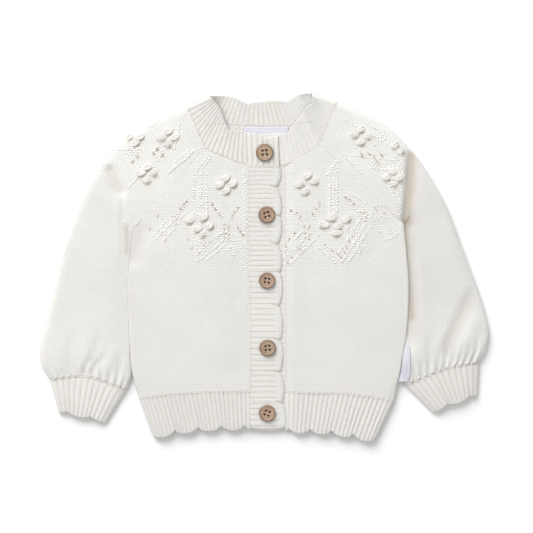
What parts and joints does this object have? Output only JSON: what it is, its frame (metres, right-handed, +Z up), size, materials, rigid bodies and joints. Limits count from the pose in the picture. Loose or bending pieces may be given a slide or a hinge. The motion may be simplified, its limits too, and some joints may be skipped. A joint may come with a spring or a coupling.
{
  "type": "baby cardigan",
  "caption": "Knitted baby cardigan with raglan sleeves, ribbed scalloped edges and a buttoned front, laid flat on its back.",
  "frame": {"origin": "on the table, under the middle of the outline of the garment as it lies", "axes": "+X towards the wearer's left, +Y from the hem to the neck, +Z up from the table"},
  "size_m": [0.4484, 0.3498, 0.0113],
  "materials": {
    "knit": "matte",
    "ribbing": "matte",
    "label": "satin",
    "button": "satin"
  },
  "bodies": {
    "root": {"back_panel": "knit", "back_hem_rib": "ribbing", "right_front_panel": "knit", "right_front_hem_rib": "ribbing", "right_sleeve": "knit", "right_cuff_rib": "ribbing", "left_front_panel": "knit", "left_front_hem_rib": "ribbing", "left_sleeve": "knit", "left_cuff_rib": "ribbing", "neckband_rib": "ribbing", "buttonhole_band": "ribbing", "button_band": "ribbing", "button_1": "button", "button_2": "button", "button_3": "button", "button_4": "button", "button_5": "button", "neck_label": "label", "side_label": "label"}
  },
  "joints": []
}
